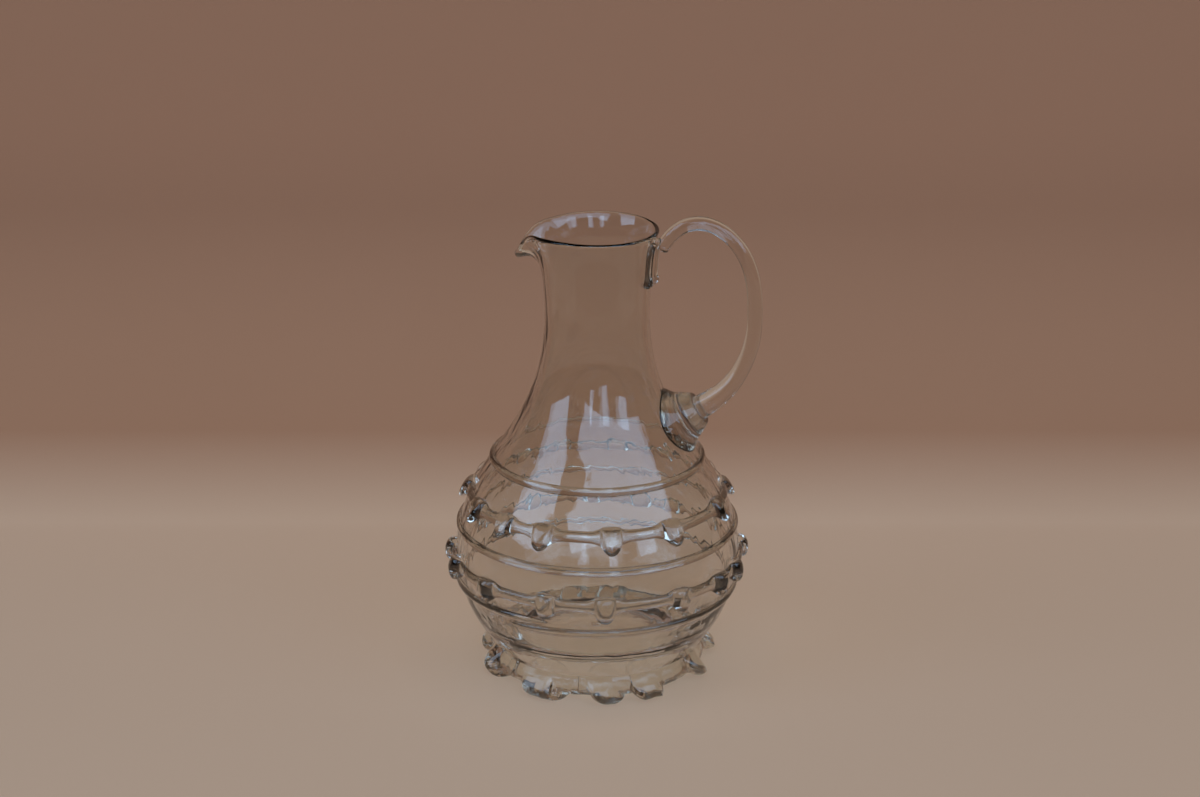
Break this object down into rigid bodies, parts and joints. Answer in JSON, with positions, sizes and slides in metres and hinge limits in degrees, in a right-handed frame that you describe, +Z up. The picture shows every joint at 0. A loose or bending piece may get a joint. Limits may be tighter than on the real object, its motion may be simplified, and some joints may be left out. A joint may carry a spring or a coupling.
{
  "type": "carafe",
  "caption": "Round-bellied blown glass carafe with a flared neck, a pulled pouring lip, a drawn loop handle and plain and pinched trails of glass round the belly and foot.",
  "frame": {"origin": "on the table, under the vessel's own axis", "axes": "+Z up along the vessel's axis, +X towards the handle, -X towards the pouring lip"},
  "size_m": [0.1609, 0.1559, 0.2377],
  "materials": {
    "vessel_glass": "thin blown soda glass, very pale smoky tint, fire polished",
    "trail_glass": "applied threads and pinched trails of the same glass, fire polished",
    "handle_glass": "solid drawn glass of the handle and its seats, fire polished"
  },
  "bodies": {
    "root": {"body": "vessel_glass", "shoulder_thread": "trail_glass", "belly_thread": "trail_glass", "lower_thread": "trail_glass", "upper_pinched_trail": "trail_glass", "lower_pinched_trail": "trail_glass", "foot_ring": "trail_glass", "handle_pad": "handle_glass", "handle_collar": "handle_glass", "handle_tab": "handle_glass", "handle": "handle_glass"}
  },
  "joints": []
}
